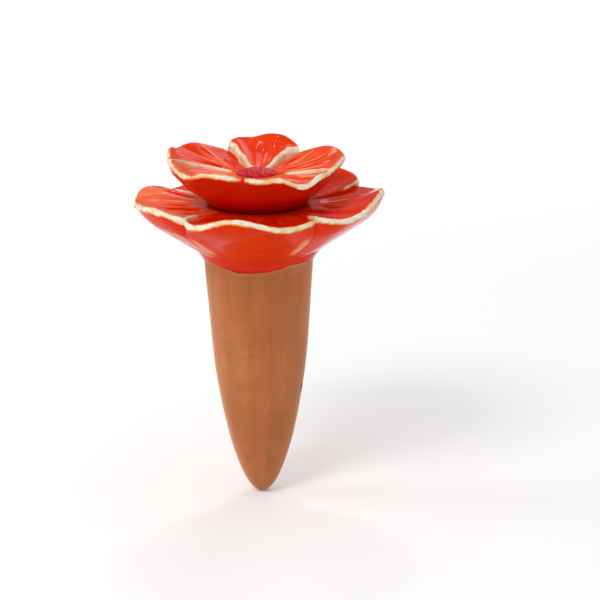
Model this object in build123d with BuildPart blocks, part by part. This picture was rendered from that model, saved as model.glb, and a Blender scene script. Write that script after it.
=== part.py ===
from build123d import *
from dataclasses import dataclass
import os

# Terracotta watering spike with a glazed flower as its filling bowl, and a flower stopper.
# Millimetres, +Z up. The origin is on the axis at the neck, where the spike stands in the soil.

# Spike: a straight taper down to the shoulder, then a rounded point
neck_radius = 22.0
shoulder_radius = 19.4
shoulder_depth = 36.0
spike_length = 100.0
shoulder_reach = 18.0
point_bluntness = 10.5
clay_wall = 4.5
tip_wall = 8.0

# Flower bowl: cup at the neck, five petals and the ring round the throat
cup_flare = 3.6
cup_height = 5.0
seat_height = 22.3
ring_width = 6.5
throat_chamfer = 0.6
bowl_tip_radius = 50.5
bowl_rim_rise = 3.0
bowl_curl = 7.0
bowl_knee_drop = 7.9
bowl_notch = 4.5

# Stopper: plug in the throat, cup on the seat, five petals and the pollen disc
plug_radius = 13.9
plug_clearance = 0.6
plug_length = 18.0
plug_taper = 1.5
plug_wall = 4.0
plug_land = 1.0
seat_width = 5.1
stopper_cup_flare = 3.0
stopper_cup_height = 3.3
stopper_tip_radius = 36.5
stopper_rim_rise = 18.7
stopper_curl = 6.5
stopper_knee_drop = 7.3
stopper_notch = 4.0
stopper_dish_rise = 12.2
disc_radius = 8.5
disc_dome = 2.2

# Petal edges
lip_thickness = 2.6
lip_bulge = 0.5
lip_tilt = 30.0
ruffle_height = 1.0
lobe_power = 4

# Each petal's two seams in degrees, its reach, and the heights of its rim at even steps from the first
# seam to the second. Reach and heights are multiples of the ruffle height.
bowl_petals = {
    "bowl_petal_front": (231.5, 298.5, 0.0, (-1.6, -2.1, -0.1, 1.6, 1.2, -0.7, -1.8, -1.5, -0.6)),
    "bowl_petal_right": (298.5, 386.0, 0.0, (0.3, -1.6, -1.5, 0.9, 2.9, 2.9, 1.0, -1.2, -1.9)),
    "bowl_petal_back_right": (26.0, 88.0, 0.0, (0.0, 1.1, 1.8, 2.3, 2.4, 2.0, 1.4, 0.3, -1.0)),
    "bowl_petal_back_left": (88.0, 152.0, -1.0, (-1.0, -0.3, 0.0, -0.2, -0.8, -1.9, -2.9, -3.3, -3.2)),
    "bowl_petal_left": (152.0, 231.5, -0.8, (-1.6, -0.4, -1.0, -1.7, -0.7, 0.1, 1.1, 0.7, -1.4)),
}
stopper_petals = {
    "stopper_petal_front_right": (260.0, 328.0, 0.0, (-1.5, -1.6, -1.4, -1.6, -4.0, -4.6, -2.4, -1.8, -2.1)),
    "stopper_petal_right": (328.0, 417.0, -1.6, (-2.2, -0.4, 0.6, 0.3, 0.2, 0.2, -0.5, -2.4, -4.6)),
    "stopper_petal_back": (57.0, 112.0, 0.0, (-4.4, -2.0, 0.4, 1.4, 1.2, 0.1, -0.2, -0.6, -2.3)),
    "stopper_petal_left": (112.0, 196.0, 1.0, (-3.9, -2.1, 0.0, 0.4, 0.2, 1.9, 2.0, 1.0, 1.2)),
    "stopper_petal_front_left": (196.0, 260.0, 0.7, (1.2, 0.5, -0.9, -1.9, -1.2, 0.1, 0.3, -0.5, -1.6)),
}

# What follows from those sizes
throat_radius = plug_radius + plug_clearance
ring_radius = throat_radius + ring_width
stopper_foot_radius = throat_radius + seat_width


@dataclass
class Flower:
    root: Vector
    inner_radius: float
    dish_height: float
    tip_radius: float
    rim_height: float
    curl: float
    knee_drop: float
    notch: float

    def along(self):
        knee = Vector(self.tip_radius - self.curl, self.rim_height - self.knee_drop)
        return (knee - self.root).normalized()

    def across(self):
        return self.along().rotate(Axis.Z, 90)

    def ceiling(self):
        return self.dish_height - clay_wall


bowl = Flower(
    root=Vector(neck_radius + cup_flare, cup_height),
    inner_radius=ring_radius,
    dish_height=seat_height,
    tip_radius=bowl_tip_radius,
    rim_height=seat_height + bowl_rim_rise,
    curl=bowl_curl,
    knee_drop=bowl_knee_drop,
    notch=bowl_notch,
)
stopper_flower = Flower(
    root=Vector(stopper_foot_radius + stopper_cup_flare, seat_height + stopper_cup_height),
    inner_radius=disc_radius,
    dish_height=seat_height + stopper_dish_rise,
    tip_radius=stopper_tip_radius,
    rim_height=seat_height + stopper_rim_rise,
    curl=stopper_curl,
    knee_drop=stopper_knee_drop,
    notch=stopper_notch,
)


def finish(piece, name):
    piece.part.label = name
    export_step(piece.part, f"parts/{name}.step")


def spike_outline(inset, tip_inset):
    """Half outline of the spike, drawn this far inside its outer face."""
    neck = Vector(neck_radius - inset, 0)
    shoulder = Vector(shoulder_radius - inset, -shoulder_depth)
    tip = Vector(0, tip_inset - spike_length)
    down = (shoulder - neck).normalized()
    bluntness = point_bluntness * (1 - inset / shoulder_radius)
    with BuildLine() as outline:
        Line(neck, shoulder)
        Bezier(shoulder, shoulder + down * shoulder_reach, tip + Vector(bluntness, 0), tip)
        Polyline(tip, (0, 0), neck)
    return outline.edges()


def radial_plane(angle):
    """Upright plane through the axis, with its X pointing out at this angle."""
    outward = Vector(1, 0, 0).rotate(Axis.Z, angle)
    return Plane(origin=(0, 0, 0), x_dir=outward, z_dir=outward.cross(Vector(0, 0, 1)))


def petal_outline(flower, rim_radius, rim_height):
    """Radial section of a hollow petal: its roof, lip and flank, and the two faces inside."""
    along = flower.along()
    across = flower.across()
    lip_down = Vector(0, -1).rotate(Axis.Z, lip_tilt)
    lip_out = Vector(1, 0).rotate(Axis.Z, lip_tilt)
    lip_middle = Vector(rim_radius, rim_height) - lip_out * lip_bulge
    lip_top = lip_middle - lip_down * (lip_thickness / 2)
    lip_foot = lip_middle + lip_down * (lip_thickness / 2)
    knee_run = rim_radius - flower.curl - flower.root.X
    knee = flower.root + along * (knee_run / along.X)
    heel_inside = flower.root + across * clay_wall
    nose_run = (flower.ceiling() - heel_inside.Y) / along.Y
    nose = heel_inside + along * nose_run
    neck_top = Vector(flower.inner_radius, flower.dish_height)
    neck_foot = Vector(flower.inner_radius, flower.ceiling())
    with BuildLine() as outline:
        TangentArc(neck_top, lip_top, tangent=(1, 0))
        ThreePointArc(lip_top, lip_middle + lip_out * lip_bulge, lip_foot)
        TangentArc(knee, lip_foot, tangent=along)
        Polyline(knee, flower.root, heel_inside, nose, neck_foot, neck_top)
    return outline.edges()


def build_petal(name, flower, row):
    """One petal, lofted round the axis through its sections, from the face of what carries it."""
    first_seam, second_seam, reach, heights = row
    with BuildPart() as petal:
        for step, height in enumerate(heights):
            share = step / (len(heights) - 1)
            angle = first_seam + (second_seam - first_seam) * share
            dip = abs(2 * share - 1) ** lobe_power
            rim_radius = flower.tip_radius + ruffle_height * reach - flower.notch * dip
            rim_height = flower.rim_height + ruffle_height * height
            with BuildSketch(radial_plane(angle)):
                make_face(petal_outline(flower, rim_radius, rim_height))
        loft()
    finish(petal, name)


os.makedirs("parts", exist_ok=True)

# Hollow spike
with BuildPart() as spike_shell:
    with BuildSketch(Plane.XZ):
        make_face(spike_outline(0, 0))
    revolve(axis=Axis.Z)
    with BuildSketch(Plane.XZ):
        make_face(spike_outline(clay_wall, tip_wall))
    revolve(axis=Axis.Z, mode=Mode.SUBTRACT)
finish(spike_shell, "spike_shell")

# Cup: flared ring from the neck to the roots of the petals
cup_inside = bowl.root + bowl.across() * clay_wall
cup_bore = neck_radius - clay_wall
with BuildPart() as flower_cup:
    with BuildSketch(Plane.XZ):
        with BuildLine():
            Polyline(
                (cup_bore, 0),
                (neck_radius, 0),
                bowl.root,
                cup_inside,
                (cup_bore, cup_inside.Y - cup_height),
                close=True,
            )
        make_face()
    revolve(axis=Axis.Z)
finish(flower_cup, "flower_cup")

# Throat ring: its flat top is the stopper's seat
with BuildPart() as throat_ring:
    with BuildSketch(Plane.XY.offset(bowl.ceiling())):
        Circle(ring_radius)
        Circle(throat_radius, mode=Mode.SUBTRACT)
    extrude(amount=clay_wall)
    mouth = throat_ring.edges().filter_by(GeomType.CIRCLE).sort_by(SortBy.RADIUS)[:2].sort_by(Axis.Z)[-1]
    chamfer(mouth, throat_chamfer)
finish(throat_ring, "throat_ring")

for name, row in bowl_petals.items():
    build_petal(name, bowl, row)

# Plug: tapered tube, open below, with a rounded lower edge
plug_bore = plug_radius - plug_wall
plug_foot = seat_height - plug_length
with BuildPart() as stopper_plug:
    with BuildSketch(Plane.XZ):
        with BuildLine():
            Polyline(
                (plug_bore, seat_height),
                (plug_radius, seat_height),
                (plug_radius - plug_taper, plug_foot),
                (plug_bore - plug_taper, plug_foot),
                close=True,
            )
        make_face()
    revolve(axis=Axis.Z)
    lower_edge = stopper_plug.edges().group_by(Axis.Z)[0].sort_by(SortBy.RADIUS)[-1]
    fillet(lower_edge, plug_wall - plug_land)
finish(stopper_plug, "stopper_plug")

# Stopper cup: flat foot on the seat, flared out to the roots of the stopper's petals
stopper_root = stopper_flower.root
stopper_inside = stopper_root + stopper_flower.across() * clay_wall
with BuildPart() as stopper_cup:
    with BuildSketch(Plane.XZ):
        with BuildLine():
            Polyline(
                (plug_bore, seat_height),
                (stopper_foot_radius, seat_height),
                stopper_root,
                stopper_inside,
                (stopper_inside.X - stopper_cup_flare, seat_height + clay_wall),
                (plug_bore, seat_height + clay_wall),
                close=True,
            )
        make_face()
    revolve(axis=Axis.Z)
finish(stopper_cup, "stopper_cup")

# Pollen disc: a stub between the petals' roofs, with a low dome
disc_foot = stopper_flower.ceiling()
disc_shoulder = stopper_flower.dish_height
with BuildPart() as pollen_disc:
    with BuildSketch(Plane.XZ):
        with BuildLine():
            dome = TangentArc((0, disc_shoulder + disc_dome), (disc_radius, disc_shoulder), tangent=(1, 0))
            Polyline(dome @ 1, (disc_radius, disc_foot), (0, disc_foot), dome @ 0)
        make_face()
    revolve(axis=Axis.Z)
finish(pollen_disc, "pollen_disc")

for name, row in stopper_petals.items():
    build_petal(name, stopper_flower, row)
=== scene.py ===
import bmesh
import bpy
import math
import numpy as np
from mathutils import Matrix, Vector
from types import SimpleNamespace


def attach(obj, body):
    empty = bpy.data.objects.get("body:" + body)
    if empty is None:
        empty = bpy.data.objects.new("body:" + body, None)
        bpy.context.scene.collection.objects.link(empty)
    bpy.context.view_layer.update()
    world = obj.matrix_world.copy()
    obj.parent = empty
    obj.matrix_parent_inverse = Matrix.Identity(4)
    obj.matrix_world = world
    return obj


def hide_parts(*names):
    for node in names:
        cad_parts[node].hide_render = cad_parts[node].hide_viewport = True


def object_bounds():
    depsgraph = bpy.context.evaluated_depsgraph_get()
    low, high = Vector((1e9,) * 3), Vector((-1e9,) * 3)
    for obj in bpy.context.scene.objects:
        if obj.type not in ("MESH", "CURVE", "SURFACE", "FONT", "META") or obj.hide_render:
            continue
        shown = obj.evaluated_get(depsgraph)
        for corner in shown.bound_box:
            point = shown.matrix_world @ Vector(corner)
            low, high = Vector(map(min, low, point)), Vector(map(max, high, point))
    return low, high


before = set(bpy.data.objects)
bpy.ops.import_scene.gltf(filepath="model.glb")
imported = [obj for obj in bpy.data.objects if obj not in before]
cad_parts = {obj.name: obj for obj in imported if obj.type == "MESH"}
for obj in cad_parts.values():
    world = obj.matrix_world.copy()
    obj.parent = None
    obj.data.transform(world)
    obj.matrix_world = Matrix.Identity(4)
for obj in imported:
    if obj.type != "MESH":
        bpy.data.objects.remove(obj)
cadLow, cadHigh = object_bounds()
print("frame loaded, nodes:", len(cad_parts))

mm = 0.001
dice = np.random.default_rng(11)


# the photo's angle: a long lens, a little above the flower, rolled by under a degree
camera = {
    "elevation": 15.0, "distance": 0.9, "pixelsPerMm": 2.48, "originPixel": (258.8, 257.0),
    "imageSize": 600, "roll": 0.85, "sensor": 36.0, "clip": (0.05, 50.0),
}


def makeCamera():
    tilt = math.radians(camera["elevation"])
    roll = math.radians(camera["roll"])
    forward = Vector((0, math.cos(tilt), -math.sin(tilt)))
    level = Vector((1, 0, 0))
    upright = Vector((0, math.sin(tilt), math.cos(tilt)))
    camRight = level * math.cos(roll) - upright * math.sin(roll)
    camUp = upright * math.cos(roll) + level * math.sin(roll)
    middle = camera["imageSize"] / 2
    focal = camera["pixelsPerMm"] / mm * camera["distance"]
    across = (camera["originPixel"][0] - middle) / focal
    down = (camera["originPixel"][1] - middle) / focal
    aside = Vector((across, -down, -1)).rotation_difference(Vector((0, 0, -1)))
    data = bpy.data.cameras.new("photoCamera")
    data.sensor_width = camera["sensor"]
    data.lens = camera["sensor"] * focal / camera["imageSize"]
    data.clip_start, data.clip_end = camera["clip"]
    obj = bpy.data.objects.new("photoCamera", data)
    axes = Matrix((camRight, camUp, -forward)).transposed() @ aside.to_matrix()
    obj.matrix_world = Matrix.Translation(forward * -camera["distance"]) @ axes.to_4x4()
    bpy.context.scene.collection.objects.link(obj)
    bpy.context.scene.camera = obj


makeCamera()
print("camera placed")


def smoothStep(low, high, x):
    s = np.clip((x - low) / (high - low), 0, 1)
    return s * s * (3 - 2 * s)


def bump(x, width):
    return np.exp(-((x / width) ** 2))


def ripple(points, scale, phase):
    # soft lumps from a few crossed sine waves, about -1 to 1
    x, y, z = (points[..., k] / scale for k in range(3))
    first = np.sin(2.1 * x + 1.3 * y + phase) * np.sin(1.7 * y - 1.1 * z + 2 * phase)
    second = np.sin(3.3 * y + 2.3 * z - phase) * np.sin(2.9 * x - 0.7 * z + 3 * phase)
    return 0.65 * first + 0.35 * second


def oneTurn(around):
    return np.linspace(0, 2 * math.pi, around, endpoint=False)[None, :]


def turnPoints(radius, height, turn):
    radius, height, turn = np.broadcast_arrays(radius, height, turn)
    return np.stack([radius * np.cos(turn), radius * np.sin(turn), height], axis=2)


def meshPiece(name, points, faces, materials, fields, faceSlots=None, sharp=50):
    mesh = bpy.data.meshes.new(name)
    mesh.from_pydata((points.reshape(-1, 3) * mm).tolist(), [], faces)
    for key, values in fields.items():
        layer = mesh.attributes.new(key, "FLOAT", "POINT")
        layer.data.foreach_set("value", np.ascontiguousarray(values.ravel(), dtype=np.float32))
    for material in materials:
        mesh.materials.append(material)
    if faceSlots is not None:
        mesh.polygons.foreach_set("material_index", np.asarray(faceSlots, dtype=np.int32))
    build = bmesh.new()
    build.from_mesh(mesh)
    bmesh.ops.recalc_face_normals(build, faces=build.faces)
    build.to_mesh(mesh)
    build.free()
    mesh.shade_smooth()
    mesh.set_sharp_from_angle(angle=math.radians(sharp))
    obj = bpy.data.objects.new(name, mesh)
    bpy.context.scene.collection.objects.link(obj)
    return obj


def standIn(obj, body, node):
    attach(obj, body)
    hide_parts(node)


# materials
def newMaterial(name):
    material = bpy.data.materials.new(name)
    material.use_nodes = True
    tree = material.node_tree
    return material, tree, tree.nodes["Principled BSDF"]


def addNode(tree, kind, values=None, links=None, **settings):
    node = tree.nodes.new(kind)
    for key, value in settings.items():
        setattr(node, key, value)
    for key, value in (values or {}).items():
        node.inputs[key].default_value = value
    for key, source in (links or {}).items():
        tree.links.new(source, node.inputs[key])
    return node


def feed(tree, socket, value):
    # a colour, a number or another node's output
    if isinstance(value, tuple):
        socket.default_value = (*value, 1.0)
    elif isinstance(value, (int, float)):
        socket.default_value = value
    else:
        tree.links.new(value, socket)


def addMath(tree, operation, first, second):
    node = addNode(tree, "ShaderNodeMath", operation=operation)
    feed(tree, node.inputs[0], first)
    feed(tree, node.inputs[1], second)
    return node.outputs[0]


def addMix(tree, amount, first, second, blend="MIX"):
    node = addNode(tree, "ShaderNodeMix", data_type="RGBA", blend_type=blend)
    for index, value in ((0, amount), (6, first), (7, second)):
        feed(tree, node.inputs[index], value)
    return node.outputs[2]


def addRamp(tree, source, stops):
    node = addNode(tree, "ShaderNodeValToRGB", links={0: source})
    elements = node.color_ramp.elements
    while len(elements) < len(stops):
        elements.new(1.0)
    for element, (place, tone) in zip(elements, stops.items()):
        element.position = place
        element.color = (*tone, 1.0)
    return node.outputs["Color"]


def addRange(tree, source, low, high, toLow=0.0, toHigh=1.0, ease="LINEAR"):
    node = addNode(
        tree,
        "ShaderNodeMapRange",
        {1: low, 2: high, 3: toLow, 4: toHigh},
        {0: source},
        interpolation_type=ease,
    )
    return node.outputs[0]


def addNoise(tree, coords, scale, detail, rough=0.5, stretch=(1, 1, 1)):
    mapping = addNode(tree, "ShaderNodeMapping", {"Scale": stretch}, {"Vector": coords})
    node = addNode(
        tree,
        "ShaderNodeTexNoise",
        {"Scale": scale, "Detail": detail, "Roughness": rough},
        {"Vector": mapping.outputs[0]},
    )
    return node.outputs["Fac"]


def addSwing(tree, noise, amount):
    # noise as a swing about zero
    return addMath(tree, "MULTIPLY", addMath(tree, "SUBTRACT", noise, 0.5), amount)


def addField(tree, name):
    return addNode(tree, "ShaderNodeAttribute", attribute_name=name).outputs["Fac"]


def addBump(tree, shader, height, strength, distance):
    values = {"Strength": strength, "Distance": distance}
    node = addNode(tree, "ShaderNodeBump", values, {"Height": height})
    tree.links.new(node.outputs[0], shader.inputs["Normal"])


glaze = {
    "body": {  # from a pink painted sheen over thin and pooled glaze to near-black, a painted shade that also deepens full grooves
        0.0: (0.87, 0.30, 0.16), 0.1: (0.86, 0.15, 0.035), 0.3: (0.81, 0.042, 0.003),
        0.6: (0.66, 0.007, 0.001), 1.0: (0.20, 0.002, 0.001),
    },
    "rim": {  # from cream over amber to red
        0.0: (0.82, 0.76, 0.63), 0.06: (0.82, 0.76, 0.63), 0.21: (0.80, 0.36, 0.09),
        0.36: (0.84, 0.14, 0.015), 0.5: (0.81, 0.042, 0.003),
    },
    "scorch": (0.92, 0.69, 0.43),
    "edgeSpan": 3.0,  # edge field where the red is whole
    "edgeNoise": 2.6, "edgeScale": 330, "edgeDrift": 2.4, "driftScale": 140,
    "calm": (0.0, 0.8, 0.6, 1.0),  # less unrest in the middle of the cream
    "cloudScale": 70, "cloudDepth": 0.3, "cover": (0.3, 0.5), "scorchScale": 230,
    "scorched": (0.46, 0.66), "pale": (0.3, 0.1), "dull": (0.1, 0.4), "roughness": 0.11,
    "creamRoughness": 0.3, "gloss": 0.045, "peelScale": 260, "peelBump": (0.06, 0.0006),
}


def redGlaze():
    # glossy red that thins to amber and cream where the edge field is small
    material, tree, shader = newMaterial("redGlaze")
    coords = addNode(tree, "ShaderNodeTexCoord").outputs["Object"]
    edge = addField(tree, "edge")
    pool = addField(tree, "pool")
    ragged = addSwing(tree, addNoise(tree, coords, glaze["edgeScale"], 4, 0.6), glaze["edgeNoise"])
    drift = addSwing(tree, addNoise(tree, coords, glaze["driftScale"], 2), glaze["edgeDrift"])
    calm = addRange(tree, edge, *glaze["calm"])
    unrest = addMath(tree, "MULTIPLY", addMath(tree, "ADD", ragged, drift), calm)
    share = addMath(tree, "DIVIDE", addMath(tree, "ADD", edge, unrest), glaze["edgeSpan"])
    cloud = addSwing(tree, addNoise(tree, coords, glaze["cloudScale"], 3), glaze["cloudDepth"])
    # the depth field is glaze depth with painted sheen, painted highlight lines and painted shade
    # added, so this ramp paints them
    body = addRamp(tree, addMath(tree, "ADD", pool, cloud), glaze["body"])
    rim = addRamp(tree, share, glaze["rim"])
    cover = addRange(tree, share, *glaze["cover"], ease="SMOOTHSTEP")
    # the cream is scorched in places
    patches = addRange(tree, addNoise(tree, coords, glaze["scorchScale"], 3), *glaze["scorched"])
    burnt = addMath(tree, "MULTIPLY", patches, addRange(tree, share, *glaze["pale"]))
    base = addMix(tree, burnt, addMix(tree, cover, rim, body), glaze["scorch"], "MULTIPLY")
    tree.links.new(base, shader.inputs["Base Color"])
    dull = addRange(tree, share, *glaze["dull"], glaze["creamRoughness"], glaze["roughness"])
    tree.links.new(dull, shader.inputs["Roughness"])
    shader.inputs["Specular IOR Level"].default_value = glaze["gloss"]
    addBump(tree, shader, addNoise(tree, coords, glaze["peelScale"], 2), *glaze["peelBump"])
    return material


clay = {
    "body": {0.3: (0.41, 0.120, 0.036), 0.5: (0.48, 0.152, 0.049), 0.72: (0.57, 0.215, 0.080)},
    "chalk": (0.57, 0.215, 0.080), "stain": (0.16, 0.06, 0.03), "cloudScale": 38,
    "cloudShare": 0.6, "streakScale": 150, "streakShare": 0.4, "streakStretch": (1, 1, 0.06),
    "grainScale": 1500, "grainShare": 0.25, "grainBump": (0.18, 0.0004), "roughness": 0.82,
    "gloss": 0.15, "sheen": 0.8, "sheenRoughness": 0.4, "sheenTint": (1.0, 0.77, 0.54, 1.0),
}


def terracotta():
    # porous fired clay: broad clouds, faint upright streaks, grains and stains, and a painted
    # shade by the spike's front ridge
    material, tree, shader = newMaterial("terracotta")
    coords = addNode(tree, "ShaderNodeTexCoord").outputs["Object"]
    clouds = addNoise(tree, coords, clay["cloudScale"], 4, 0.55)
    streaks = addNoise(tree, coords, clay["streakScale"], 3, 0.5, clay["streakStretch"])
    grains = addNoise(tree, coords, clay["grainScale"], 2)
    clouds = addMath(tree, "MULTIPLY", clouds, clay["cloudShare"])
    streaks = addMath(tree, "MULTIPLY", streaks, clay["streakShare"])
    tone = addMath(tree, "ADD", clouds, streaks)
    tone = addMath(tree, "ADD", tone, addSwing(tree, grains, clay["grainShare"]))
    base = addRamp(tree, tone, clay["body"])
    base = addMix(tree, addField(tree, "chalk"), base, clay["chalk"])
    # the stain field: a chip, pits and a smear, and a painted shade beside the spike's front ridge
    base = addMix(tree, addField(tree, "stain"), base, clay["stain"])
    tree.links.new(base, shader.inputs["Base Color"])
    shader.inputs["Roughness"].default_value = clay["roughness"]
    shader.inputs["Specular IOR Level"].default_value = clay["gloss"]
    shader.inputs["Sheen Weight"].default_value = clay["sheen"]
    shader.inputs["Sheen Roughness"].default_value = clay["sheenRoughness"]
    shader.inputs["Sheen Tint"].default_value = clay["sheenTint"]
    addBump(tree, shader, grains, *clay["grainBump"])
    return material


pollen = {
    "body": {0.1: (0.33, 0.003, 0.011), 0.85: (0.60, 0.011, 0.026)},
    "cloudScale": 300, "cloudDepth": 0.7, "roughness": 0.2, "gloss": 0.07,
}


def crimsonGlaze():
    material, tree, shader = newMaterial("crimsonGlaze")
    coords = addNode(tree, "ShaderNodeTexCoord").outputs["Object"]
    cloud = addSwing(tree, addNoise(tree, coords, pollen["cloudScale"], 3), pollen["cloudDepth"])
    tone = addMath(tree, "ADD", addField(tree, "rise"), cloud)
    base = addRamp(tree, tone, pollen["body"])
    tree.links.new(base, shader.inputs["Base Color"])
    shader.inputs["Roughness"].default_value = pollen["roughness"]
    shader.inputs["Specular IOR Level"].default_value = pollen["gloss"]
    return material


redMaterial = redGlaze()
clayMaterial = terracotta()
crimsonMaterial = crimsonGlaze()
bothMaterials = [redMaterial, clayMaterial]
print("materials made")


# petals: the CAD's sections, with rounded edges, laps, veins and lumps on top
lip = {"thickness": 2.6, "bulge": 0.5, "tilt": 30.0}
rows = {"roof": 46, "lip": 13, "flank": 40}
columns = 121
roofEnd = rows["roof"] - 1
lipEnd = roofEnd + rows["lip"] - 1
form = {
    "wall": 4.5, "notchPower": 4, "columnCrowd": 1.6, "rowCrowd": 1.35, "sweepEase": 1.7,
    "seamGap": 0.03, "liftFull": 0.55, "liftWidest": 0.55, "liftPower": 1.5, "liftEnd": 3.0,
    "taperFrom": 0.75, "shoulderRun": 1.2, "proudRun": 5.0, "proudRound": 1.5, "grooveRun": 1.3,
    "grooveEnd": 5.0, "thinnest": 0.45,
    "swell": (0.28, 1.7),  # height and waves from seam to seam
    "flute": (0.18, 1.3), "fluteEnd": 6.0, "lump": (0.16, 6.0),
}
vein = {
    "spread": 0.8, "stray": 0.13, "depth": (0.1, 0.7), "width": (0.5, 1.7),
    "start": (0.0, 0.35), "stop": (0.6, 1.1), "fadeIn": 0.25, "fadeOut": 0.3,
    "sheenStreak": (1.6, 0.6),  # pale painted sheen streak beside it: how far, and how wide
    "crease": (0.9, 1.3),
}


def smoothCurve(values, t):
    # natural cubic spline through even steps, for t from -1 to 1
    y = np.array(values, dtype=float)
    last = len(y) - 1
    grid = 4 * np.eye(last - 1) + np.eye(last - 1, k=1) + np.eye(last - 1, k=-1)
    bend = np.zeros(last + 1)
    bend[1:-1] = np.linalg.solve(grid, 6 * (y[:-2] - 2 * y[1:-1] + y[2:]))
    x = (t + 1) / 2 * last
    k = np.minimum(x.astype(int), last - 1)
    f = x - k
    g = 1 - f
    return g * y[k] + f * y[k + 1] + ((g**3 - g) * bend[k] + (f**3 - f) * bend[k + 1]) / 6


def arcRows(start, tangent, end, steps):
    # circle arcs that leave start along tangent and reach end, one per column
    tiny = 1e-6
    chord = end - start
    left = np.stack([-tangent[:, 1], tangent[:, 0]], axis=1)
    side = np.sum(chord * left, axis=1)
    side = np.where(np.abs(side) < tiny, tiny, side)
    radius = np.sum(chord * chord, axis=1) / (2 * side)
    sweep = 2 * np.arctan2(side, np.sum(chord * tangent, axis=1))
    turn = sweep[:, None] * steps[None, :]
    ahead = (radius[:, None] * np.sin(turn))[..., None] * tangent[:, None, :]
    aside = (radius[:, None] * (1 - np.cos(turn)))[..., None] * left[:, None, :]
    return start[:, None, :] + ahead + aside


def petalSections(flower, petal, t):
    # the outer line of every section, the hidden corners inside, and the way into the clay
    tilt = math.radians(lip["tilt"])
    lipOut = np.array([math.cos(tilt), math.sin(tilt)])
    lipDown = np.array([math.sin(tilt), -math.cos(tilt)])
    notch = np.where(t < 0, *petal["notch"])
    rimRadius = flower["tip"] + petal["reach"] - notch * np.abs(t) ** form["notchPower"]
    if "tuck" in petal:
        rimRadius = rimRadius - smoothCurve(petal["tuck"], t)
    rimHeight = flower["rim"] + smoothCurve(petal["rim"], t)
    middle = np.stack([rimRadius, rimHeight], axis=1) - lipOut * lip["bulge"]
    lipTop = middle - lipDown * lip["thickness"] / 2
    lipFoot = middle + lipDown * lip["thickness"] / 2
    root = np.array(flower["root"])
    along = np.array([flower["tip"] - flower["curl"], flower["rim"] - flower["kneeDrop"]]) - root
    along = along / np.linalg.norm(along)
    across = np.array([-along[1], along[0]])
    knee = root + along * ((rimRadius - flower["curl"] - root[0]) / along[0])[:, None]

    def every(v):
        return np.repeat(np.asarray(v, dtype=float)[None, :], len(t), axis=0)

    roofSteps = 1 - (1 - np.linspace(0, 1, rows["roof"])) ** form["rowCrowd"]
    roof = arcRows(every((flower["inner"], flower["dish"])), every((1, 0)), lipTop, roofSteps)
    turn = 2 * math.atan(2 * lip["bulge"] / lip["thickness"])
    leave = lipDown * math.cos(turn) + lipOut * math.sin(turn)
    edge = arcRows(lipTop, every(leave), lipFoot, np.linspace(0, 1, rows["lip"]))
    curl = arcRows(knee, every(along), lipFoot, np.linspace(1, 0, rows["flank"] // 2))
    down = np.linspace(0, 1, rows["flank"] - rows["flank"] // 2 + 1)[None, :, None]
    straight = knee[:, None, :] * (1 - down) + root * down
    outer = np.concatenate([roof, edge[:, 1:], curl[:, 1:], straight[:, 1:]], axis=1)
    inside = root + across * form["wall"]
    ceiling = flower["dish"] - form["wall"]
    nose = inside + along * (ceiling - inside[1]) / along[1]
    hidden = np.stack([every(inside), every(nose), every((flower["inner"], ceiling))], axis=1)
    return outer, hidden, across


def softenLip(outer):
    # takes the sharpness off the two corners of the lip
    first, last = roofEnd - 4, lipEnd + 6
    for _ in range(2):
        part = outer[:, first - 1 : last + 1]
        outer[:, first:last] = 0.25 * part[:, :-2] + 0.5 * part[:, 1:-1] + 0.25 * part[:, 2:]


def roundOff(distance, radius):
    # quarter circle that drops by radius at the edge
    near = np.clip(1 - distance / radius, 0, 1)
    return radius * (1 - np.sqrt(1 - near**2))


def drawIn(section, flower, depth):
    # the end section made thinner by up to depth on each side, for the face of the petal's edge
    roof, flank = section[: roofEnd + 1], section[lipEnd:]
    ceiling = flower["dish"] - form["wall"]
    under = np.interp(roof[:, 0], flank[::-1, 0], flank[::-1, 1], left=ceiling)
    above = np.interp(flank[:, 0], roof[:, 0], roof[:, 1])
    drawn = section.copy()
    drawn[: roofEnd + 1, 1] -= np.minimum(depth, form["thinnest"] * (roof[:, 1] - under))
    drawn[lipEnd:, 1] += np.minimum(depth, form["thinnest"] * (above - flank[:, 1]))
    share = np.linspace(0, 1, rows["lip"])[:, None]
    drawn[roofEnd : lipEnd + 1] = drawn[roofEnd] * (1 - share) + drawn[lipEnd] * share
    return drawn[1:-1]


def endFaces(end, drawn, far):
    # the band of the edge face between the end column and the drawn-in one, and inside it a
    # ladder from the roof to the flank, which stays under the next petal where the seam curves
    last = len(drawn) + 1
    foot = lipEnd - 1
    faces = [[end[0], end[1], drawn[0]], [end[last - 1], end[last], drawn[-1]]]
    faces += [[end[i], end[i + 1], drawn[i], drawn[i - 1]] for i in range(1, last - 1)]
    upper = [end[0], *drawn[:foot]]
    lower = [*end[: last - 1 : -1], *drawn[: foot - 1 : -1]]
    i = j = 0
    while i + 1 < len(upper) or j + 1 < len(lower):
        lowerDone = j + 1 == len(lower)
        if lowerDone or (i + 1 < len(upper) and far[upper[i + 1]] <= far[lower[j + 1]]):
            faces.append([upper[i], upper[i + 1], lower[j]])
            i += 1
        else:
            faces.append([upper[i], lower[j + 1], lower[j]])
            j += 1
    return faces


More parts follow.
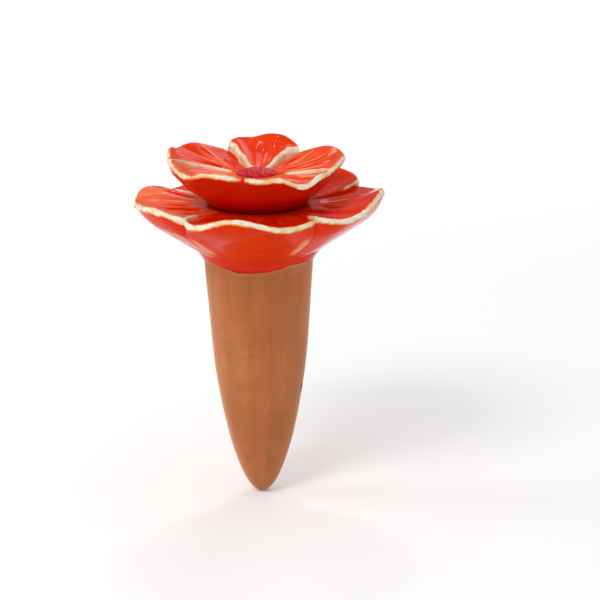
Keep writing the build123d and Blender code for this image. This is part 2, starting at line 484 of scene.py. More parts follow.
def measure(outer, petal, t):
    # where the points lie: runs in mm, shares of the roof and the flank, and angles
    at = SimpleNamespace()
    step = np.linalg.norm(np.diff(outer, axis=1), axis=2)
    at.run = np.concatenate([np.zeros((columns, 1)), np.cumsum(step, axis=1)], axis=1)
    place = np.arange(outer.shape[1])[None, :]
    at.onRoof, at.onFlank = place <= roofEnd, place >= lipEnd
    roofRun, lipRun = at.run[:, [roofEnd]], at.run[:, [lipEnd]]
    at.aboveLip = np.where(at.onRoof, roofRun - at.run, 0)
    at.belowLip = np.where(at.onFlank, at.run - lipRun, 0)
    at.toLip = at.aboveLip + at.belowLip
    at.toRoot = at.run[:, -1:] - at.run
    at.roofShare = np.where(at.onRoof, at.run / roofRun, 1)
    at.flankShare = np.where(at.onFlank, at.toRoot / at.toRoot[:, [lipEnd]], 1)
    inward = 1 - at.roofShare ** form["sweepEase"]
    halfWay = 4 * at.roofShare * (1 - at.roofShare)
    first, second = (
        np.radians(seam + sweep * inward + bow * halfWay)
        for seam, sweep, bow in zip(petal["seams"], petal["sweep"], petal["bow"])
    )
    turnShare = (t[:, None] + 1) / 2
    at.angle = first * (1 - turnShare) + second * turnShare
    radius = outer[..., 0]
    at.toSides = [radius * (at.angle - first), radius * (second - at.angle)]
    at.toSeam = np.minimum(*at.toSides)
    at.halfArc = radius * (second - first) / 2
    return at


def seamRelief(petal, at, t):
    # at each seam the roof of one petal lies over the other, and the flank of one stands proud
    lift = swellOut = drop = np.zeros_like(at.run)
    flankPart = smoothStep(0, 4, at.belowLip) * smoothStep(0, 0.4, at.flankShare)
    flankPart = np.where(at.onFlank, flankPart, 0)
    for away, side, proud in zip(at.toSides, petal["sides"], petal["proud"]):
        rise = side["core"] + (1 - side["core"]) * smoothStep(0, form["liftFull"], at.roofShare)
        rise = rise * (1 - side["taper"] * smoothStep(form["taperFrom"], 1, at.roofShare))
        rise = rise * np.where(at.onFlank, 1 - smoothStep(0, form["liftEnd"], at.belowLip), 1)
        liftRun = np.minimum(side["run"], form["liftWidest"] * at.halfArc)
        lift = lift + side["lift"] * np.exp(-((away / liftRun) ** form["liftPower"])) * rise
        swellOut = swellOut + proud * bump(away, form["proudRun"]) * flankPart
        if side["lift"] > 0:
            shoulder = roundOff(away, side["round"])
        else:
            shoulder = side["round"] * bump(away, form["shoulderRun"])
        if proud > 0.5:  # over its neighbour
            groove = roundOff(away, form["proudRound"])
        else:
            groove = side["groove"] * bump(away, form["grooveRun"])
        groove = groove * smoothStep(0, form["grooveEnd"], at.toRoot)
        drop = drop + np.where(at.onFlank, groove, shoulder)
    if "belly" in petal:
        swellOut = swellOut + np.interp(t, (-1, 0, 1), petal["belly"])[:, None] * flankPart
    return lift, swellOut, drop


def veinRelief(flower, petal, at, t):
    # veins and a swell on the roof, a few flutes on the flank, and beside each vein a pale painted
    # sheen streak for the glaze colour
    across = t[:, None]
    bend = across + petal["bend"] * np.sin(math.pi * at.roofShare) * (1 - across**2)
    at.fade = smoothStep(0.5, 5, at.toLip) * smoothStep(0.02, 0.3, at.roofShare)
    at.fade = at.fade * smoothStep(1, 4, at.toSeam)
    at.veinFade = at.fade * (1 - smoothStep(*flower["veinEnd"], at.roofShare))
    at.veins = at.streaks = np.zeros_like(at.run)
    many, deepest = petal["veins"]
    places = np.linspace(-vein["spread"], vein["spread"], many)
    places = places + dice.uniform(-vein["stray"], vein["stray"], many)
    depths = dice.uniform(*vein["depth"], many) * deepest
    widths, starts, stops = (dice.uniform(*vein[key], many) for key in ("width", "start", "stop"))
    streakAside, streakWidth = vein["sheenStreak"]
    for place, depth, width, start, stop in zip(places, depths, widths, starts, stops):
        length = smoothStep(start, start + vein["fadeIn"], at.roofShare)
        length = length * (1 - smoothStep(stop - vein["fadeOut"], stop, at.roofShare))
        offset = (bend - place) * at.halfArc
        # a pale painted sheen streak beside each vein
        sheenStreak = bump(offset - streakAside * width, streakWidth * width)
        at.veins = at.veins - depth * length * bump(offset, width)
        at.streaks = at.streaks + depth * length * sheenStreak
    if "crease" in petal:
        depth, width = vein["crease"]
        at.veins = at.veins - depth * bump((bend - petal["crease"]) * at.halfArc, width)

    def waves(height, count, x):
        return height * np.cos(2 * math.pi * count * x + dice.uniform(0, 6))

    swell = waves(*form["swell"], bend)
    flute = waves(*form["flute"], across)
    flute = flute * smoothStep(1, form["fluteEnd"], at.toLip)
    flute = flute * smoothStep(0, form["fluteEnd"], at.toRoot)
    height = np.where(at.onRoof, at.veins * at.veinFade + swell * at.fade, 0)
    return height + np.where(at.onFlank, flute, 0) * smoothStep(0, form["fluteEnd"], at.toSeam)


paint = {
    "whole": 3.0,  # edge field where no cream shows
    "hidden": 0.6, "roofSlope": 1.2, "gap": 2.5, "bandSlope": 1.6, "bandFade": 0.3,
    "bandDrop": 2.0, "tintSlope": 1.5, "tintRim": (0.5, 4.0), "roof": 0.36, "vein": (0.5, 0.7),
    # the weight of the painted sheen streaks, and how far up from the root the painted shade
    # reaches
    "sheenStreak": 0.85, "rootRun": 8.0,
    "paintedGlint": (0.5, 2.2, 1.5),  # a painted highlight line on the front petal's flank edges: strength, distance from the seam and width
    "paintedGlintEnds": ((3.0, 10.0), (1.0, 10.0)),
}


def petalPaint(flower, petal, at, t):
    # how far each point is from the cream edge, and how deep the glaze is, with painted sheen,
    # painted highlight and painted shade mixed into the depth
    fromMiddle = np.abs(at.run - at.run[:, (roofEnd + lipEnd) // 2][:, None])
    edge = np.maximum(0, fromMiddle - np.interp(t, (-1, 0, 1), petal["cream"])[:, None])
    edge = np.where(at.onRoof, edge + paint["roofSlope"] * at.aboveLip, edge)
    for away, side in zip(at.toSides, petal["sides"]):
        if "gap" in side:
            edge = edge + paint["gap"] * bump(away, side["gap"])
        if "band" in side:
            bare = smoothStep(side["bare"] - paint["bandFade"], side["bare"], at.roofShare)
            band = np.maximum(0, away - side["band"]) * paint["bandSlope"]
            band = band + paint["whole"] * (1 - bare) + paint["bandDrop"] * at.belowLip
            edge = np.minimum(edge, band)
        if "tint" in side:
            slope, reach = paint["tintRim"]
            tint = side["tint"] + paint["tintSlope"] * away
            edge = np.minimum(edge, tint + slope * np.maximum(0, reach - at.aboveLip))
    # vein grooves hold deeper glaze; the streaks beside them, and a low depth on some petals,
    # paint a paler sheen
    most, share = paint["vein"]
    veinPoolAndSheen = np.clip(-at.veins, 0, most) * share - at.streaks * paint["sheenStreak"]
    roofPoolAndLight = paint["roof"] + petal["pool"] + veinPoolAndSheen * at.veinFade
    # painted shade: the stopper's flank darkens towards its root, where it meets the bowl
    atRoot = 1 - smoothStep(0, paint["rootRun"], at.toRoot)
    flankPoolAndLight = flower["flankPoolAndLight"] + flower["rootShade"] * atRoot
    # painted highlight: a paler glaze line along both flank edges of the front petal
    strength, aside, width = paint["paintedGlint"]
    lipFade, rootFade = paint["paintedGlintEnds"]
    for away, proud in zip(at.toSides, petal["proud"]):
        if proud > 1:  # the front petal
            pale = strength * bump(away - aside, width) * smoothStep(*lipFade, at.belowLip)
            flankPoolAndLight = flankPoolAndLight - pale * smoothStep(*rootFade, at.toRoot)
    return edge, np.where(at.onRoof, roofPoolAndLight, flankPoolAndLight)


def makePetal(node, flower, petal, body):
    s = np.linspace(-1, 1, columns)
    t = np.sign(s) * (1 - (1 - np.abs(s)) ** form["columnCrowd"])
    outer, hidden, across = petalSections(flower, petal, t)
    softenLip(outer)
    count = outer.shape[1]
    at = measure(outer, petal, t)
    lift, swellOut, drop = seamRelief(petal, at, t)
    height = veinRelief(flower, petal, at, t)
    tangent = np.gradient(outer, axis=1)
    tangent = tangent / np.linalg.norm(tangent, axis=2, keepdims=True)
    normal = np.stack([-tangent[..., 1], tangent[..., 0]], axis=2)
    section = outer + normal * (height - drop)[..., None]
    section[..., 1] += lift
    section = section - across * swellOut[..., None]
    edge, pool = petalPaint(flower, petal, at, t)

    loop = np.concatenate([section, hidden], axis=1)
    turned = np.concatenate([at.angle, at.angle[:, [-1, -1, 0]]], axis=1)
    turned = turned - form["seamGap"] / loop[..., 0] * t[:, None]
    points = turnPoints(loop[..., 0], loop[..., 1], turned)
    lumpHeight, lumpScale = form["lump"]
    lumps = lumpHeight * ripple(points, lumpScale, petal["rim"][4] * 3 + petal["seams"][0])
    points[:, :count, 2] += lumps[:, :count] * at.fade
    within = hidden.shape[:2]
    parts = [points.reshape(-1, 3)]
    edges = [np.concatenate([edge, np.full(within, paint["whole"])], axis=1).ravel()]
    poolAndLightParts = [np.concatenate([pool, np.full(within, paint["hidden"])], axis=1).ravel()]
    total = loop.shape[1]
    index = np.arange(columns * total).reshape(columns, total)
    ahead = np.roll(index, -1, axis=1)
    faces = np.stack([index[:-1], index[1:], ahead[1:], ahead[:-1]], axis=2)
    faces = faces.reshape(-1, 4).tolist()
    used = columns * total
    for k, side in zip((0, columns - 1), petal["sides"]):
        drawn = drawIn(section[k], flower, side["depth"])
        drawnTurn = turned[k, 1 : count - 1, None]
        parts.append(turnPoints(drawn[:, :1], drawn[:, 1:], drawnTurn)[:, 0])
        edges.append(edge[k, 1:-1] + side["shade"])
        poolAndLightParts.append(pool[k, 1:-1])
        far = np.linalg.norm(np.concatenate(parts)[:, :2], axis=1)
        faces += endFaces(index[k].tolist(), list(range(used, used + len(drawn))), far)
        used += len(drawn)
    fields = {"edge": np.concatenate(edges), "pool": np.concatenate(poolAndLightParts)}
    slots = np.zeros(len(faces), dtype=int)
    # bare clay on the hidden faces
    slots[: (columns - 1) * total] = np.tile(np.arange(total) >= count - 1, columns - 1)
    first, *words = node.split("_")
    name = first + "".join(word.title() for word in words)
    obj = meshPiece(name, np.concatenate(parts), faces, bothMaterials, fields, slots)
    standIn(obj, body, node)


# root: foot of the flank as radius and height; inner and dish: where the roof starts
# on the flank: the glaze depth, and a painted shade towards the root, which the stopper has where
# it sits in the bowl
bowlFlower = {
    "root": (25.6, 5.0), "inner": 21.0, "dish": 22.3, "tip": 50.5, "rim": 25.3, "curl": 7.0,
    "kneeDrop": 7.9, "veinEnd": (0.55, 0.9), "flankPoolAndLight": 0.36, "rootShade": 0.0,
}
stopperFlower = {
    "root": (22.6, 25.6), "inner": 7.4, "dish": 34.5, "tip": 36.5, "rim": 41.0, "curl": 6.5,
    "kneeDrop": 7.3, "veinEnd": (0.85, 1.1), "flankPoolAndLight": 0.42, "rootShade": 0.3,
}

# a petal's side at a seam. lift: how far the roof rises there, over a run, with a share of it at
# the core and a taper at the rim; round: of the shoulder; depth: of the band on the edge face, and
# shade: how much redder it is; groove: on the flank; band: of cream on the shoulder, which starts
# at bare along the roof; tint: how pale; gap: width of a red gap
plainSide = {
    "lift": 0.0, "run": 5.0, "core": 0.0, "taper": 0.9, "round": 0.35, "depth": 0.8,
    "shade": 0.0, "groove": 0.3,
}
lowSide = {**plainSide, "lift": -0.4}
tintSide = {**plainSide, "lift": -0.3, "core": 0.6, "tint": 0.75}
frontSide = {**plainSide, "gap": 0.55, "groove": 0.05, "round": 0.25, "tint": 0.1}
edgeSide = {**plainSide, "lift": -0.1, "band": 0.4, "bare": 0.88}
hoodSide = {**plainSide, "lift": 0.3, "run": 12.0}
thinSide = {
    **plainSide, "lift": 0.55, "run": 6.0, "core": 0.1, "round": 0.7, "depth": 0.25, "shade": 0.1,
    "band": 0.35, "bare": 0.25,
}
bandSide = {
    **plainSide, "lift": 2.6, "run": 8.0, "core": 0.6, "taper": 0.5, "round": 1.9, "depth": 1.2,
    "band": 1.0, "bare": 0.0,
}
curlSide = {
    **plainSide, "lift": 0.25, "run": 7.0, "taper": 0.6, "round": 0.5, "depth": 0.3, "band": 0.9,
    "bare": 0.6,
}
backSide = {**curlSide, "lift": 0.5, "round": 0.7, "shade": 0.3, "band": 0.2, "bare": 0.75}
overSide = {
    **curlSide, "lift": 1.5, "taper": 1.0, "round": 0.8, "depth": 0.8, "band": 0.5, "bare": 0.35,
}

# sweep and bow: how far each seam turns on its way in, and half way; rim: heights at even steps
# from seam to seam; tuck: how far the rim is drawn in there; cream: half its width at the seams
# and between; proud: how far the flank swells at each seam, and belly: also between; veins: how
# many and how deep; pool: extra depth of the roof's glaze, where low a paler painted sheen; bend:
# of the veins; crease: a deep one
plainPetal = {"sweep": (0, 0), "bow": (0, 0), "reach": 0.0, "notch": (4.5, 4.5), "bend": 0.0}
bowlPetals = {
    "bowl_petal_front": {
        "seams": (231.5, 298.5), "sweep": (-11.0, 10.0),
        "rim": (-1.6, -2.1, -0.1, 1.6, 1.2, -0.7, -1.8, -1.5, -0.6), "cream": (0.4, 0.4, 0.45),
        "sides": (edgeSide, edgeSide), "proud": (1.1, 1.1), "veins": (6, 0.6), "pool": 0.16,
    },
    "bowl_petal_right": {
        "seams": (298.5, 386.0), "sweep": (10.0, -8.0),
        "rim": (0.3, -1.6, -1.5, 0.9, 2.9, 2.9, 1.0, -1.2, -1.9), "cream": (0.55, 0.5, 0.4),
        "sides": (curlSide, lowSide), "proud": (-0.4, 0.3), "veins": (7, 1.3), "pool": 0.1,
        "bend": 0.06,
    },
    "bowl_petal_back_right": {
        "seams": (26.0, 88.0), "sweep": (-8.0, 0.0),
        "rim": (0.0, 1.1, 1.8, 2.3, 2.4, 2.0, 1.4, 0.3, -1.0), "cream": (0.5, 0.4, 0.4),
        "sides": (backSide, backSide), "proud": (0.6, 0.6), "veins": (6, 0.7), "pool": 0.04,
    },
    "bowl_petal_back_left": {
        "seams": (88.0, 152.0), "reach": -1.0,
        "tuck": (0.0, 0.0, 0.0, 0.4, 1.6, 3.4, 4.4, 3.4, 1.4),
        "rim": (-1.0, -0.3, 0.0, -0.3, -1.2, -2.5, -3.3, -3.4, -3.2), "cream": (0.4, 0.4, 0.4),
        "sides": (lowSide, overSide), "proud": (-0.3, 0.6), "veins": (6, 0.7), "pool": 0.0,
    },
    "bowl_petal_left": {
        "seams": (152.0, 231.5), "sweep": (0.0, -11.0), "reach": -0.8,
        "tuck": (0.0, 0.0, 0.0, 0.2, 0.4, 0.4, 0.3, 0.1, 0.0),
        "rim": (-1.2, 0.3, -0.5, -1.5, -0.7, 0.1, 1.1, 0.7, -1.4), "cream": (0.3, 0.35, 0.5),
        # its low glaze depth is a paler glaze that paints the sheen on this roof
        "sides": (hoodSide, curlSide), "proud": (-0.3, -0.4), "veins": (6, 1.2), "pool": -0.2,
        "bend": 0.1, "crease": 0.45,
    },
}
stopperPetals = {
    "stopper_petal_front_right": {
        "seams": (260.0, 328.0), "sweep": (0.0, 28.0), "notch": (3.65, 3.0),
        "rim": (-1.5, -1.6, -1.4, -1.6, -4.0, -4.6, -2.4, -1.8, -2.1), "cream": (0.2, 0.5, 0.5),
        "sides": (frontSide, tintSide), "proud": (0.0, 0.3), "veins": (6, 0.7), "pool": -0.14,
    },
    "stopper_petal_right": {
        "seams": (328.0, 417.0), "sweep": (28.0, 0.0), "bow": (0.0, 5.0), "reach": -1.6,
        "notch": (1.8, 4.0), "rim": (-2.2, -0.4, 0.6, 0.3, 0.2, 0.2, -0.5, -2.4, -4.6),
        "cream": (0.4, 0.2, 0.2), "sides": (thinSide, tintSide), "proud": (0.3, 0.3),
        "veins": (7, 1.0), "pool": -0.1, "bend": 0.2,
    },
    "stopper_petal_back": {
        "seams": (57.0, 112.0), "bow": (5.0, -2.0), "notch": (4.0, 4.0),
        "rim": (-4.4, -2.0, 0.4, 1.4, 1.2, 0.1, -0.2, -0.6, -2.3), "cream": (0.4, 0.2, 0.4),
        "sides": (bandSide, bandSide), "proud": (0.4, 0.4), "veins": (5, 0.35), "pool": -0.02,
    },
    "stopper_petal_left": {
        "seams": (112.0, 196.0), "sweep": (0.0, -40.0), "bow": (-2.0, 0.0), "reach": 1.0,
        "notch": (4.0, 0.0), "tuck": (0.0, 0.0, 0.0, 0.0, 0.2, 0.9, 1.5, 1.7, 1.4),
        "rim": (-3.9, -2.1, 0.0, 0.4, 0.2, 1.9, 2.0, 1.0, 1.2), "cream": (0.3, 0.1, 0.1),
        "sides": (tintSide, thinSide), "proud": (0.3, 0.3), "belly": (0.0, 0.5, 1.4),
        "veins": (8, 1.1), "pool": 0.0, "bend": -0.2,
    },
    "stopper_petal_front_left": {
        "seams": (196.0, 260.0), "sweep": (-40.0, 0.0), "reach": 0.7, "notch": (1.1, 4.35),
        "rim": (1.2, 0.5, -0.9, -1.9, -1.2, 0.1, 0.3, -0.5, -1.6), "cream": (0.2, -0.1, 0.0),
        "sides": (tintSide, frontSide), "proud": (0.3, 0.0), "belly": (1.4, 0.6, 0.0),
        "veins": (6, 0.9), "pool": -0.16,
    },
}
for node, petal in bowlPetals.items():
    makePetal(node, bowlFlower, {**plainPetal, **petal}, "spike")
for node, petal in stopperPetals.items():
    makePetal(node, stopperFlower, {**plainPetal, **petal}, "stopper")
print("petals made:", len(bowlPetals) + len(stopperPetals))


# turned pieces: spike, cups, ring and plug
def roundCorners(corners, steps=6):
    # corners are (r, z, rounding); returns the outline with arcs in place of the corners
    path = []
    last = len(corners) - 1
    for k, (r, z, rounding) in enumerate(corners):
        here = np.array([r, z], dtype=float)
        if rounding == 0:
            path.append(here)
            continue
        before = np.array(corners[k - 1][:2], dtype=float)
        after = np.array(corners[0 if k == last else k + 1][:2], dtype=float)
        toBefore = (before - here) / np.linalg.norm(before - here)
        toAfter = (after - here) / np.linalg.norm(after - here)
        for share in np.linspace(0, 1, steps):
            first = here + toBefore * rounding * (1 - share)
            second = here + toAfter * rounding * share
            path.append(first * (1 - share) + second * share)
    return np.array(path)


def refine(path, longest):
    # adds points to a closed outline so that no step is longer than asked
    dense = []
    for a, b in zip(path, np.roll(path, -1, axis=0)):
        pieces = max(1, int(math.ceil(np.linalg.norm(b - a) / longest)))
        dense += [a + (b - a) * k / pieces for k in range(pieces)]
    return np.array(dense)


def turnFaces(rowCount, around, closed):
    index = np.arange(rowCount * around).reshape(rowCount, around)
    below = np.roll(index, -1, axis=0) if closed else index[1:]
    above = index if closed else index[:-1]
    right = np.roll(above, -1, axis=1)
    belowRight = np.roll(below, -1, axis=1)
    return np.stack([above, below, belowRight, right], axis=2).reshape(-1, 4).tolist()


def arcFrom(angle, degrees, radius):
    return (degrees - angle) * radius * math.pi / 180


spikeShape = {
    "neckRadius": 22.0, "shoulderRadius": 19.4, "shoulderDepth": 36.0, "length": 100.0,
    "reach": 18.0, "bluntness": 10.5, "wall": 4.5, "tipWall": 8.0, "coneRun": 2.4, "cone": 0.72,
    "underGlaze": 0.3, "seams": (281, 101), "flat": 1.2, "flatReach": (18, 75), "lump": (0.1, 9.0),
    "chalkLine": (0.75, 0.7),  # strength and width of the pale line under the glaze
}
spikeMarks = {
    "chip": {"angle": 346, "depth": 53.5, "wide": 1.9, "tall": 2.2, "cut": 0.7, "stain": 0.5},
    "pits": ((303, 57, 0.5), (307, 57.8, 0.45), (236, 83, 0.6), (120, 30, 0.7), (60, 66, 0.6)),
    "pitCut": 0.25, "pitStain": 0.5,
    "scratch": {"angle": 248, "depth": 39.5, "slant": 0.8, "wide": 0.35, "tall": 1.6},
    "smear": {"angle": 257, "depth": 36.5, "slant": 0.1, "wide": 2.6, "tall": 0.6, "stain": 0.22},
    # a painted shade: a darker band on the right of the front mould ridge, down to the point
    "ridgeShade": {"start": (280, 283), "stop": (286, 312), "depth": (10, 45), "stain": 0.09},
}
neck = {
    # angle round the neck (front is 270) and height where the glaze ends
    "line": {
        0: 0.8, 40: -0.6, 90: 0.4, 150: -0.9, 180: 0.3, 200: 0.6, 214: 1.2, 236: -0.4, 247: -1.2,
        262: -1.1, 280: -0.8, 292: 0.3, 305: 1.5, 318: 1.2, 332: 0.6, 345: 0.4, 360: 0.8,
    },
    "glazeThick": 0.3, "beadThick": 0.15, "sink": 0.25,
}


def glazeLine(turn):
    degrees = np.degrees(turn) % 360
    line = np.interp(degrees, list(neck["line"]), list(neck["line"].values()))
    return line + 0.06 * np.sin(turn * 23) + 0.03 * np.sin(turn * 41 + 1)


def spikeLine(inset, tipInset, count):
    shape = spikeShape
    shoulder = np.array([shape["shoulderRadius"] - inset, -shape["shoulderDepth"]])
    top = np.array([shape["neckRadius"] - inset, 0.0])
    tip = np.array([0.0, tipInset - shape["length"]])
    down = (shoulder - top) / np.linalg.norm(shoulder - top)
    first = shoulder + down * shape["reach"]
    second = tip + np.array([shape["bluntness"] * (1 - inset / shape["shoulderRadius"]), 0])
    share = np.linspace(0, 1, count)[:, None]
    curve = (
        shoulder * (1 - share) ** 3
        + first * 3 * share * (1 - share) ** 2
        + second * 3 * share**2 * (1 - share)
        + tip * share**3
    )
    straight = top + (shoulder - top) * np.linspace(0, 1, count // 2)[:-1, None]
    return np.vstack([straight, curve])


def makeSpike():
    shape, marks = spikeShape, spikeMarks
    around = 220
    outer = spikeLine(0, 0, 90)
    inner = spikeLine(shape["wall"], shape["tipWall"], 40)[::-1]
    rise = np.linspace(shape["coneRun"], 0, 6, endpoint=False)
    collarRadius = shape["neckRadius"] - shape["underGlaze"] + rise * shape["cone"]
    path = np.vstack([inner, np.stack([collarRadius, rise], axis=1), outer])
    turn = oneTurn(around)
    radius, height = path[:, :1], path[:, 1:]
    isOuter = (np.arange(len(path)) >= len(inner))[:, None]
    degrees = np.degrees(turn)
    depth = -height
    smooth = turnPoints(radius, height, turn)

    # mould seams front and back: a ridge between two flattened sides, sharper towards the point
    flats = np.zeros((len(path), around))
    near, far = shape["flatReach"]
    for seamAngle in shape["seams"]:
        aside = np.abs((degrees - seamAngle + 180) % 360 - 180)
        flats = flats + np.clip(aside / near, 0, 1) * (1 - smoothStep(near, far, aside))
    flats = flats * smoothStep(12, 60, depth) * smoothStep(1, 15, radius) * shape["flat"]
    lumpHeight, lumpScale = shape["lump"]
    lumps = lumpHeight * ripple(smooth, lumpScale, 0.7)
    mark = marks["chip"]
    chip = bump(arcFrom(mark["angle"], degrees, radius), mark["wide"])
    chip = chip * bump(depth - mark["depth"], mark["tall"])
    chip = smoothStep(0.4, 0.75, chip + 0.22 * ripple(smooth, 0.8, 2.3))
    pits = np.zeros((len(path), around))
    for angle, deep, size in marks["pits"]:
        pits = pits + bump(arcFrom(angle, degrees, radius), size) * bump(depth - deep, size)
    shift = lumps * smoothStep(0, 8, radius) - flats
    shift = shift - mark["cut"] * chip - marks["pitCut"] * pits
    radius = np.maximum(0, radius + np.where(isOuter, shift, 0))

    # pale line under the glaze and a scratch; darker chip, pits and smear, and a painted shade on
    # the right of the front ridge
    strength, width = shape["chalkLine"]
    chalk = np.where(isOuter, strength * bump(glazeLine(turn) - height - 0.3, width), 0)
    mark = marks["scratch"]
    below = depth - mark["depth"]
    scratch = arcFrom(mark["angle"], degrees, radius) + below * mark["slant"]
    scratch = bump(scratch, mark["wide"]) * bump(below, mark["tall"])
    mark = marks["smear"]
    below = depth - mark["depth"] + mark["slant"] * (degrees - mark["angle"])
    smear = bump(arcFrom(mark["angle"], degrees, radius), mark["wide"]) * bump(below, mark["tall"])
    # painted shade just right of the front ridge, from below the neck to the point
    mark = marks["ridgeShade"]
    ridgeShade = smoothStep(*mark["start"], degrees) * (1 - smoothStep(*mark["stop"], degrees))
    ridgeShade = ridgeShade * smoothStep(*mark["depth"], depth) * smoothStep(2, 12, radius)
    stain = marks["chip"]["stain"] * chip + marks["pitStain"] * pits
    stain = stain + marks["smear"]["stain"] * smear + mark["stain"] * ridgeShade
    fields = {"stain": np.clip(stain, 0, 1), "chalk": np.clip(chalk + scratch, 0, 1)}
    points = turnPoints(radius, height, turn)
    faces = turnFaces(len(path), around, False)
    return meshPiece("spikeBody", points, faces, [clayMaterial], fields)


cup = {
    "rows": 26, "crowd": 1.3, "height": 5.0, "spikeTaper": 0.07222,
    "inside": ((23.0, 8.7), (17.5, 3.7), (17.5, 0.0), (20.5, 0.0)), "pool": 0.44, "beadPool": 0.25,
}


def makeCup():
    # glaze over the flare at the neck, ending in a thick wavy line
    around = 240
    outside = cup["rows"]
    turn = oneTurn(around)
    share = np.linspace(0, 1, outside)[:, None] ** cup["crowd"]
    line = glazeLine(turn)
    height = line + (cup["height"] - line) * share
    slope = np.where(height > 0, spikeShape["cone"], cup["spikeTaper"])
    fromLine = height - line
    skin = neck["glazeThick"] * np.sqrt(np.clip(fromLine / 0.5, 0, 1))
    skin = skin + neck["beadThick"] * bump(fromLine - 0.7, 0.6)
    skin = (skin - neck["sink"]) * (1 - smoothStep(0.55, 1, share))
    radius = spikeShape["neckRadius"] + slope * height + skin
    inside = np.array(cup["inside"])
    points = np.vstack(
        [turnPoints(radius, height, turn), turnPoints(inside[:, :1], inside[:, 1:], turn)]
    )
    rowCount = len(points)
    edge = np.full((rowCount, around), paint["whole"])
    edge[:outside] = np.clip(1.1 + fromLine * 4, 0, paint["whole"])
    pool = np.full((rowCount, around), cup["pool"])
    pool[:outside] += cup["beadPool"] * bump(fromLine - 0.4, 0.4)
    faces = turnFaces(rowCount, around, True)
    slots = [1 if face[0] // around >= outside - 1 else 0 for face in faces]
    return meshPiece("cupGlaze", points, faces, bothMaterials, {"edge": edge, "pool": pool}, slots)


# outlines as radius, height and rounding
turning = {"around": 160, "lumpScale": 7.0, "sharp": 35, "bareRadius": 17.5}
throatCorners = [(21.0, 22.3, 0), (21.0, 17.8, 0.4), (14.5, 17.8, 0.8), (14.5, 22.3, 0.6)]
stopperCupCorners = [
    (9.9, 22.3, 0), (19.6, 22.3, 0.7), (22.6, 25.6, 0),
    (19.28, 28.64, 0), (16.28, 26.8, 0), (9.9, 26.8, 0),
]
plugCorners = [(9.9, 22.3, 0), (13.9, 22.3, 0), (12.4, 4.3, 3.0), (8.4, 4.3, 0.8)]


def makeTurned(name, corners, materials, longest=1.2, lump=0.05, pool=(0.5, 0.5)):
    # pool: depth of the glaze at the foot and at the top; near 1 it paints dark shade
    around = turning["around"]
    path = refine(roundCorners(corners), longest)
    radius = path[:, :1]
    points = turnPoints(radius, path[:, 1:], oneTurn(around))
    lumps = lump * ripple(points, turning["lumpScale"], 1.9) / np.maximum(radius, 1)
    points[..., 0:2] *= (1 + lumps)[..., None]
    faces = turnFaces(len(path), around, True)
    bare = (path[:, 0] < turning["bareRadius"]).tolist()
    slots = [int(bare[face[0] // around]) for face in faces] if len(materials) > 1 else None
    ends = (path[:, 1].min(), path[:, 1].max())
    depth = np.interp(points[..., 2], ends, pool)
    fields = {"edge": np.full(depth.shape, paint["whole"]), "pool": depth}
    return meshPiece(name, points, faces, materials, fields, slots, turning["sharp"])


standIn(makeSpike(), "spike", "spike_shell")
standIn(makeCup(), "spike", "flower_cup")
throat = makeTurned("throatSeat", throatCorners, bothMaterials)
standIn(throat, "spike", "throat_ring")
# the foot's glaze runs to near black at the bottom: a painted shade where the stopper sits in the
# bowl
stopperFoot = makeTurned("stopperFoot", stopperCupCorners, bothMaterials, pool=(1, 0.6))
standIn(stopperFoot, "stopper", "stopper_cup")
plug = makeTurned("plugStem", plugCorners, [clayMaterial], longest=0.8, lump=0.12)
standIn(plug, "stopper", "stopper_plug")
print("turned pieces made")


pollenShape = {
    "radius": 8.0, "aside": -0.4, "shoulder": 34.5, "dome": 2.2, "foot": 30.0, "grains": 150,
    "grainSize": 0.8, "grainSizes": (0.8, 1.15), "grainRise": 0.45, "grainReach": 0.985,
    "strayTurn": 0.12, "stray": 0.18, "edgeRise": 0.7, "sharp": 70,
}


def makePollen():
    # a low dome covered in little knobs
    shape = pollenShape
    around = 180
    turn = oneTurn(around)
    ring = np.linspace(0, 1, 56)[:, None]
    radius = shape["radius"] * ring
    sphere = (shape["radius"] ** 2 + shape["dome"] ** 2) / (2 * shape["dome"])
    height = shape["shoulder"] + shape["dome"] - sphere + np.sqrt(sphere**2 - radius**2)
    flat = np.stack([radius * np.cos(turn), radius * np.sin(turn)], axis=2)
    knobs = np.zeros(flat.shape[:2])
    golden = math.pi * (3 - math.sqrt(5))
    stray = shape["stray"]
    for k in range(shape["grains"]):
        far = shape["radius"] * shape["grainReach"] * math.sqrt((k + 0.5) / shape["grains"])
        way = golden * k + dice.uniform(-shape["strayTurn"], shape["strayTurn"])
        spot = np.array([far * math.cos(way), far * math.sin(way)])
        spot = spot + dice.uniform(-stray, stray, 2)
        size = shape["grainSize"] * dice.uniform(*shape["grainSizes"])
        away = np.linalg.norm(flat - spot, axis=2) / size
        knobs = np.maximum(knobs, np.sqrt(np.clip(1 - away**2, 0, 1)))
    height = height + shape["grainRise"] * (knobs - 1) + shape["edgeRise"] * ring**2
    skirt = np.array([[shape["radius"], shape["foot"]], [0.0, shape["foot"]]])
    points = np.vstack(
        [turnPoints(radius, height, turn), turnPoints(skirt[:, :1], skirt[:, 1:], turn)]
    )
    points[..., 0] += shape["aside"]
    fields = {"rise": np.vstack([knobs, np.zeros((2, around))])}
    faces = turnFaces(len(points), around, False)
    sharp = shape["sharp"]
    return meshPiece("pollenCushion", points, faces, [crimsonMaterial], fields, sharp=sharp)


standIn(makePollen(), "stopper", "pollen_disc")
print("pollen made")


# floor and light
stage = {
    "half": 6.0, "tone": (0.86, 0.86, 0.86, 1), "roughness": 0.9, "gloss": 0.1,
    "glow": (0.3, 1.8, 0.1, 0.62),  # from and to these distances in m, between these strengths
}
room = {"brightSide": (0.55, -0.3, 0.78), "levels": (-0.5, 0.6, 0.18, 0.68)}


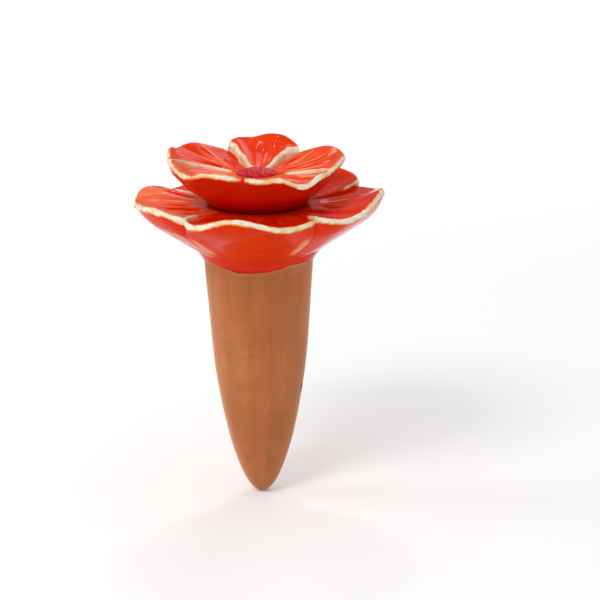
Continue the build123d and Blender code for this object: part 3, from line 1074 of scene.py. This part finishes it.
def makeFloor():
    # pale floor that fades to white away from the part, in the camera's view and in reflections
    material, tree, shader = newMaterial("paleFloor")
    shader.inputs["Base Color"].default_value = stage["tone"]
    shader.inputs["Roughness"].default_value = stage["roughness"]
    shader.inputs["Specular IOR Level"].default_value = stage["gloss"]
    path = addNode(tree, "ShaderNodeLightPath")
    seen = addMath(tree, "MAXIMUM", path.outputs["Is Camera Ray"], path.outputs["Is Glossy Ray"])
    seen = addMath(tree, "MAXIMUM", seen, path.outputs["Is Transmission Ray"])
    coords = addNode(tree, "ShaderNodeTexCoord").outputs["Object"]
    away = addNode(tree, "ShaderNodeVectorMath", links={0: coords}, operation="LENGTH")
    glow = addRange(tree, away.outputs["Value"], *stage["glow"], ease="SMOOTHSTEP")
    shader.inputs["Emission Color"].default_value = (1, 1, 1, 1)
    tree.links.new(addMath(tree, "MULTIPLY", glow, seen), shader.inputs["Emission Strength"])
    mesh = bpy.data.meshes.new("floor")
    half = stage["half"]
    corners = [(-half, -half, 0), (half, -half, 0), (half, half, 0), (-half, half, 0)]
    mesh.from_pydata(corners, [], [(0, 1, 2, 3)])
    mesh.materials.append(material)
    obj = bpy.data.objects.new("floor", mesh)
    obj.location = (0, 0, cadLow[2])
    bpy.context.scene.collection.objects.link(obj)


def makeWorld():
    # a soft room, brightest above and to the right
    world = bpy.data.worlds.new("studio")
    bpy.context.scene.world = world
    world.use_nodes = True
    tree = world.node_tree
    way = addNode(tree, "ShaderNodeTexCoord").outputs["Generated"]
    values = {1: room["brightSide"]}
    side = addNode(tree, "ShaderNodeVectorMath", values, {0: way}, operation="DOT_PRODUCT")
    level = addRange(tree, side.outputs["Value"], *room["levels"], ease="SMOOTHSTEP")
    ground = tree.nodes["Background"]
    ground.inputs["Color"].default_value = (1, 1, 1, 1)
    tree.links.new(level, ground.inputs["Strength"])


lamps = {
    # place, aim, size and watts
    "keyBox": ((-0.4, -0.6, 0.75), (0, 0, 0), (0.35, 0.35), 4.4),
    "leftBox": ((-0.9, 0.15, 0.15), (0, 0, -0.02), (0.3, 0.8), 2.6),
    "rightBox": ((0.27, 0.9, 0.58), (0, 0, 0), (0.5, 0.5), 1.6),
    "streakBox": ((-0.35, 0.85, 0.4), (0, 0, 0.02), (0.12, 0.3), 0.5),
    "sparkBox": ((0.0, 0.45, 0.75), (0, 0, 0.03), (0.03, 0.03), 0.5),
}


def softBox(name, place, aim, size, watts):
    data = bpy.data.lights.new(name, "AREA")
    data.shape = "RECTANGLE"
    data.size, data.size_y = size
    data.energy = watts
    obj = bpy.data.objects.new(name, data)
    obj.location = place
    away = Vector(place) - Vector(aim)
    obj.rotation_euler = away.to_track_quat("Z", "Y").to_euler()
    bpy.context.scene.collection.objects.link(obj)


makeFloor()
makeWorld()
for lampName, lampValues in lamps.items():
    softBox(lampName, *lampValues)
bpy.context.scene.view_settings.view_transform = "Standard"
print("stage and light set")
